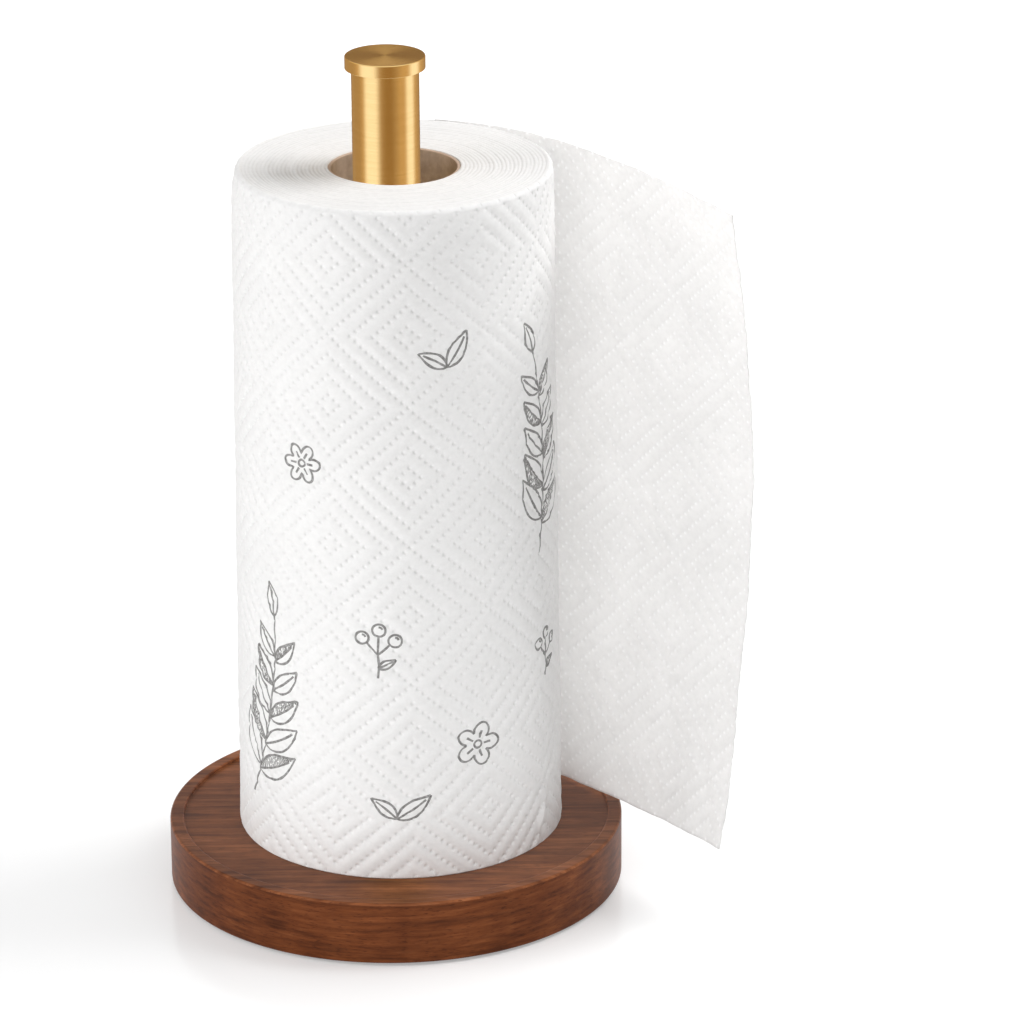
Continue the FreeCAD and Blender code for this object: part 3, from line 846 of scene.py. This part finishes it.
def pattern_place(tree):
    """The place and side that mark_pattern() stores, as X, Y and Z."""
    place = add_node(tree, "Attribute", attribute_name="pattern").outputs["Vector"]
    return split_place(tree, place)


def pressed_dots(tree):
    """1 in the middle of each pressed dot, falling to 0 round it, and the paper's side.

    The dots follow the rule of emboss().
    """
    split = pattern_place(tree)
    steps, rests = [], []
    for operation in ("ADD", "SUBTRACT"):
        slant = calc(tree, operation, split["X"], split["Y"])
        slant = calc(tree, "SUBTRACT", slant, calc(tree, "ROUND", slant))
        slant = calc(tree, "MULTIPLY", slant, float(DIAMOND_DOTS))
        steps.append(calc(tree, "ROUND", slant))
        rests.append(calc(tree, "SUBTRACT", slant, steps[-1]))
    line = calc(tree, "MAXIMUM", *[calc(tree, "ABSOLUTE", step) for step in steps])
    pressed = calc(tree, "FLOORED_MODULO", line, 2.0)
    total = 0.0
    for operation, size in (("ADD", DIAMOND_WIDTH), ("SUBTRACT", DIAMOND_HEIGHT)):
        way = calc(tree, operation, *rests)
        way = calc(tree, "MULTIPLY", way, size / (2 * DIAMOND_DOTS * DOT_RADIUS))
        total = calc(tree, "ADD", calc(tree, "MULTIPLY", way, way), total)
    dot = calc(tree, "EXPONENT", calc(tree, "MULTIPLY", total, -1.0))
    return calc(tree, "MULTIPLY", dot, pressed), split["Z"]


def copied_finish(material, name):
    """A copy of a material, its tree, its shader and the colour that feeds it."""
    copy = material.copy()
    copy.name = name
    shader = copy.node_tree.nodes["Principled BSDF"]
    return copy, copy.node_tree, shader, shader.inputs["Base Color"].links[0].from_socket


def paper_finish():
    """White tissue: matt, faintly clouded and grained, with crisp pressed dots and fine fibres."""
    material, tree, shader = start_material("embossed_tissue", Roughness=0.95, Specular_IOR_Level=0.15)
    place = object_place(tree)
    tone = ramp(tree, noise(tree, place, 35.0, detail=3.0), TISSUE_TONES)
    grain = ramp(tree, noise(tree, place, 480.0, detail=3.0, roughness=0.6), TISSUE_GRAIN)
    tone = blend(tree, 1.0, tone, grain, kind="MULTIPLY")
    fibres = noise(tree, place, 1500.0, detail=4.0, roughness=0.65)
    dots, side = pressed_dots(tree)
    depth = calc(tree, "MULTIPLY", side, -DOT_DEPTH / FIBRE_DEPTH)
    relief = calc(tree, "ADD", calc(tree, "MULTIPLY", dots, depth), fibres)
    paint(tree, shader, tone, bump(tree, relief, 1.0, FIBRE_DEPTH * MM))
    return material


def wound_edge_finish(paper):
    """The tissue on the roll's end, speckled, with painted shade in the gaps between its turns."""
    material, tree, shader, tone = copied_finish(paper, "wound_edges")
    gap_shade = add_node(tree, "Attribute", attribute_name="gap_shade").outputs["Fac"]
    specks = noise(tree, object_place(tree), 420.0, detail=4.0, roughness=0.7)
    shade = calc(tree, "MULTIPLY", gap_shade, calc(tree, "MULTIPLY", specks, 0.6))
    paint(tree, shader, blend(tree, shade, tone, GAP_SHADE_TONE))
    return material


def loose_tissue_finish(paper):
    """The same tissue as a single sheet, which lets part of the light behind it through.

    Next to the seam, where the roll is right behind it, it is as dense as the roll.
    On the side where the dots stand out, painted light makes them lighter, as if lit through the thin paper.
    """
    material, tree, shader, tone = copied_finish(paper, "loose_tissue")
    dots, side = pressed_dots(tree)
    # Painted light: the raised dots are made lighter, as if lit through the thin paper
    thin = calc(tree, "MULTIPLY", dots, calc(tree, "LESS_THAN", side, 0.0))
    tone = blend(tree, thin, tone, DOT_BACKLIGHT_TONE)
    paint(tree, shader, tone)
    behind = add_node(tree, "BsdfTranslucent", {"Color": tone}).outputs[0]
    seam, clear = SEAM_ALONG / DIAMOND_WIDTH, (SEAM_ALONG - CLEAR_FROM) / DIAMOND_WIDTH
    share = remap(tree, pattern_place(tree)["X"], (seam, clear), (0.0, SHEET_CLEARNESS))
    mixed = add_node(tree, "MixShader", {0: share, 1: shader.outputs[0], 2: behind}).outputs[0]
    tree.links.new(mixed, tree.nodes["Material Output"].inputs["Surface"])
    return material


def wood_masks(tree):
    """Where the disc's side is and where the painted highlights along its rim's edges lie, each as 1 or 0.

    The side takes in the underside, and leaves out the rim's top and the recess.
    """
    height = split_place(tree, object_place(tree))["Z"]
    reach = length_of(tree, object_place(tree, (1.0, 1.0, 0.0)))
    low = calc(tree, "LESS_THAN", height, (BASE_TOP - SIDE_TOP) * MM)
    within = calc(tree, "LESS_THAN", reach, RECESS_EDGE * MM)
    above = calc(tree, "GREATER_THAN", height, (ROLL_FOOT - RECESS_SLACK) * MM)
    recess = calc(tree, "MULTIPLY", within, above)
    side = calc(tree, "SUBTRACT", low, calc(tree, "MULTIPLY", low, recess))
    # Painted highlight: thin bands along the rim's inner and outer top edges
    inner = calc(tree, "COMPARE", reach, (RECESS_EDGE + HIGHLIGHT_INNER) * MM, HIGHLIGHT_WIDTH * MM)
    outer = calc(tree, "GREATER_THAN", reach, (BASE_EDGE - HIGHLIGHT_OUTER) * MM)
    near_top = calc(tree, "GREATER_THAN", height, (BASE_TOP - HIGHLIGHT_DEPTH) * MM)
    return side, calc(tree, "MULTIPLY", calc(tree, "MAXIMUM", inner, outer), near_top)


def wood_place(tree, side, upper, lower):
    """Place in the wood, stretched one way on its top and another way on its side."""
    chosen = add_node(tree, "Mix", data_type="VECTOR")
    for index, value in ((0, side), (4, object_place(tree, upper)), (5, object_place(tree, lower))):
        tree.links.new(value, chosen.inputs[index])
    return chosen.outputs[1]


def walnut_finish():
    """Oiled walnut whose grain runs from left to right.

    Growth rings lie round an axis below the disc; their distance from it, bent by noise,
    runs through a sine. Long thin noise adds dark streaks, and fine short noise the pores.
    On the side the streaks run round the disc, under faint upright bands.
    """
    material, tree, shader = start_material("oiled_walnut", Roughness=0.42, Specular_IOR_Level=0.10)
    side, edges = wood_masks(tree)
    bent = noise(tree, object_place(tree, (2.2, 11.0, 6.0)), 1.6, detail=3.0)
    rings = add_node(tree, "TexWave", {
        "Vector": object_place(tree, (0.35, 1.0, 1.6)), "Scale": 17.0, "Distortion": 8.0,
        "Detail": 3.0, "Detail Scale": 1.2, "Detail Roughness": 0.55},
        wave_type="RINGS", rings_direction="X", wave_profile="SIN").outputs["Fac"]
    streaks = noise(tree, wood_place(tree, side, (5, 95, 30), (9, 20, 150)), 3.0, detail=5.0, roughness=0.6)
    fine = noise(tree, wood_place(tree, side, (22, 260, 200), (40, 70, 420)), 2.0, detail=4.0, roughness=0.6)
    pores = noise(tree, wood_place(tree, side, (130, 1300, 900), (170, 260, 1300)), 2.0, detail=1.0)
    bands = noise(tree, object_place(tree, (30.0, 30.0, 3.0)), 2.2, detail=2.0)
    tone = ramp(tree, bent, WALNUT_BASE)
    tone = blend(tree, 0.35, tone, ramp(tree, rings, WALNUT_RINGS))
    tone = blend(tree, 0.55, tone, ramp(tree, streaks, WALNUT_STREAKS))
    tone = blend(tree, 0.35, tone, ramp(tree, fine, WALNUT_LINES))
    tone = blend(tree, 0.5, tone, ramp(tree, bands, WALNUT_BANDS), kind="MULTIPLY")
    tone = blend(tree, ramp(tree, pores, PORE_MASK), tone, PORE_TONE)
    # Painted light and shade: the top is made lighter and paler, the side darker, and the rim's edges get a
    # painted highlight
    level = blend(tree, side, TOP_LIGHT_LEVEL, SIDE_SHADE_LEVEL)
    level = blend(tree, edges, level, EDGE_HIGHLIGHT_LEVEL)
    tone = blend(tree, 1.0, tone, level, kind="MULTIPLY")
    paint(tree, shader, tone, bump(tree, pores, 0.3, 0.12 * MM))
    return material


def brass_finish(name, brush_scale, turned_rings=False):
    """Satin brass with fine brush lines, or with turned rings round the post's axis."""
    material, tree, shader = start_material(name, Metallic=1.0, Roughness=0.22)
    place = object_place(tree, brush_scale)
    lines = noise(tree, length_of(tree, place) if turned_rings else place, 1.0, detail=3.0, roughness=0.6)
    paint(tree, shader, ramp(tree, lines, BRASS_TONES), bump(tree, lines, 0.12, 0.08 * MM))
    return material


def ink_finish():
    """Soft grey ink, thin in places."""
    material, tree, shader = start_material("grey_ink", Roughness=0.9, Specular_IOR_Level=0.15)
    patches = noise(tree, object_place(tree), 900.0, detail=3.0)
    paint(tree, shader, ramp(tree, patches, INK_TONES))
    return material


def cardboard_finish():
    """Grey-brown board with fibres, and a lighter cut rim."""
    material, tree, shader = start_material("core_board", Roughness=0.85, Specular_IOR_Level=0.2)
    place = object_place(tree)
    fibres = noise(tree, place, 260.0, detail=5.0, roughness=0.65)
    rim_level = (CORE_HIGH[2] + CORE_RISE - BOARD_RIM_DEPTH) * MM
    rim = calc(tree, "GREATER_THAN", split_place(tree, place)["Z"], rim_level)
    tone = blend(tree, rim, ramp(tree, fibres, BOARD_TONES), BOARD_RIM_TONE)
    paint(tree, shader, tone, bump(tree, fibres, 0.3, 0.2 * MM))
    return material


def plain_finish(name, colour, metallic, roughness):
    """A hidden part's finish: one colour with a slight cloudiness."""
    material, tree, shader = start_material(name, Metallic=metallic, Roughness=roughness)
    cloud = noise(tree, object_place(tree), 180.0, detail=4.0)
    darker = tuple(0.75 * value for value in colour)
    paint(tree, shader, ramp(tree, cloud, [(0.3, darker), (0.7, colour)]))
    return material


def dress_node(node, material):
    """Give a construction node that stays in view its finish."""
    piece = nodes[node]
    if not piece.material_slots:
        piece.data.materials.append(material)
    for holder in piece.material_slots:
        holder.material = material


def seen_directly(tree):
    """1 for rays from the camera, mirror-like surfaces or glass, 0 for diffuse light."""
    path = add_node(tree, "LightPath").outputs
    first = calc(tree, "MAXIMUM", path["Is Camera Ray"], path["Is Glossy Ray"])
    return calc(tree, "MAXIMUM", first, path["Is Transmission Ray"])


def make_floor():
    """Wide pale grey floor with a faint gloss and a glow that makes it look white."""
    material, tree, shader = start_material(
        "white_floor", Roughness=0.18, Specular_IOR_Level=0.5, Base_Color=FLOOR_TONE, Emission_Color=WHITE)
    reach = length_of(tree, object_place(tree))
    level = remap(tree, reach, (GLOW_FROM * MM, GLOW_TO * MM), (FLOOR_GLOW, FAR_GLOW))
    glow = calc(tree, "MULTIPLY", seen_directly(tree), level)
    tree.links.new(glow, shader.inputs["Emission Strength"])
    corners = np.array([(-1, -1, 0), (1, -1, 0), (1, 1, 0), (-1, 1, 0)], float) * FLOOR_HALF
    new_object("floor", corners, np.array([[0, 1, 2, 3]]), material)


def make_world():
    """Even white light from all round; plain white where it is seen directly."""
    world = bpy.data.worlds.new("studio")
    scene.world = world
    world.use_nodes = True
    tree = world.node_tree
    background = tree.nodes["Background"]
    background.inputs["Color"].default_value = WHITE
    level = remap(tree, seen_directly(tree), target=(WORLD_LEVEL, 1.0))
    tree.links.new(level, background.inputs["Strength"])


def add_softbox(name, place, aim, width, height, power):
    """A rectangular soft lamp that faces a point; places are in millimetres."""
    lamp = bpy.data.lights.new(name, "AREA")
    lamp.shape = "RECTANGLE"
    lamp.size, lamp.size_y = width * MM, height * MM
    lamp.energy = power
    holder = bpy.data.objects.new(name, lamp)
    start, end = Vector(place) * MM, Vector(aim) * MM
    facing = (end - start).to_track_quat("-Z", "Y").to_matrix().to_4x4()
    holder.matrix_world = Matrix.Translation(start) @ facing
    holder.visible_glossy = holder.visible_camera = False
    scene.collection.objects.link(holder)


def card_finish():
    """Glowing cards by their compass angle. From outside or from afar they are clear."""
    material, tree, _ = start_material("studio_cards")
    split = split_place(tree, object_place(tree))
    turn = calc(tree, "ARCTAN2", split["X"], calc(tree, "MULTIPLY", split["Y"], -1.0))
    share = remap(tree, turn, (-math.pi, math.pi))
    stops = [((degrees + 180) / 360, CARD_TINTS[tint]) for degrees, tint in RING_CARDS]
    upper = calc(tree, "GREATER_THAN", split["Z"], UPPER_CARD * MM)
    colour = blend(tree, upper, ramp(tree, share, stops), UPPER_TINT)
    glow = add_node(tree, "Emission", {"Color": colour, "Strength": CARD_STRENGTH}).outputs[0]
    reach = add_node(tree, "LightPath").outputs["Ray Length"]
    outside = add_node(tree, "NewGeometry").outputs["Backfacing"]
    unseen = calc(tree, "MAXIMUM", calc(tree, "GREATER_THAN", reach, RING_REACH * MM), outside)
    clear = add_node(tree, "BsdfTransparent").outputs[0]
    shown = add_node(tree, "MixShader", {0: unseen, 1: glow, 2: clear}).outputs[0]
    tree.links.new(shown, tree.nodes["Material Output"].inputs["Surface"])
    return material


def make_card_ring():
    """Light and dark studio cards, seen only as near reflections in the post and its cap."""
    angle = np.radians(np.linspace(-180, 180, RING_STEPS + 1)[:-1])
    up = np.array([[RING_LOW], [RING_HIGH]])
    x, y = RING_RADIUS * np.sin(angle), -RING_RADIUS * np.cos(angle)
    points = np.stack(np.broadcast_arrays(x, y, up), axis=-1)
    faces = grid_faces(2, RING_STEPS, join_columns=True)[:, ::-1]
    ring = new_object("card_ring", points, faces, card_finish())
    for kind in ("camera", "diffuse", "transmission", "volume_scatter", "shadow"):
        setattr(ring, "visible_" + kind, False)


def make_camera():
    """The photograph's view: pitched down, with a slight roll."""
    data = bpy.data.cameras.new("camera")
    data.lens, data.sensor_width = CAMERA_LENS, SENSOR_WIDTH
    data.clip_end = CLIP_METRES
    camera = bpy.data.objects.new("camera", data)
    tilt = Matrix.Rotation(math.radians(CAMERA_TILT), 4, "X")
    roll = Matrix.Rotation(math.radians(CAMERA_ROLL), 4, "Z")
    camera.matrix_world = Matrix.Translation(Vector(CAMERA_PLACE) * MM) @ tilt @ roll
    scene.collection.objects.link(camera)
    scene.camera = camera


def main():
    scene.view_settings.view_transform = "Standard"
    paper = paper_finish()
    brass = brass_finish("brushed_brass", (60.0, 60.0, 2200.0))
    cap_brass = brass_finish("turned_brass", (2200.0, 2200.0, 0.0), turned_rings=True)
    walnut = walnut_finish()
    board = cardboard_finish()
    panels = make_wall(paper) + make_end_faces(paper, wound_edge_finish(paper))
    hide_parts("paper_roll")
    panels.append(make_loose_sheet(loose_tissue_finish(paper)))
    drawing = make_print(ink_finish())
    drawing.visible_diffuse = drawing.visible_transmission = drawing.visible_shadow = False
    for panel in panels + [drawing]:
        panel.visible_glossy = False
    make_core(board)
    make_base(walnut)
    make_post(brass)
    make_cap(cap_brass)
    steel = plain_finish("zinc_plated_steel", STEEL_TONE, 1.0, 0.38)
    pad = plain_finish("soft_pad", PAD_TONE, 0.0, 0.9)
    for node in ("post_plug", "post_screw", "screw_washer"):
        dress_node(node, steel)
    dress_node("foot_pad", pad)
    make_floor()
    make_world()
    make_card_ring()
    for name, settings in SOFTBOXES.items():
        add_softbox(name, *settings)
    make_camera()


main()
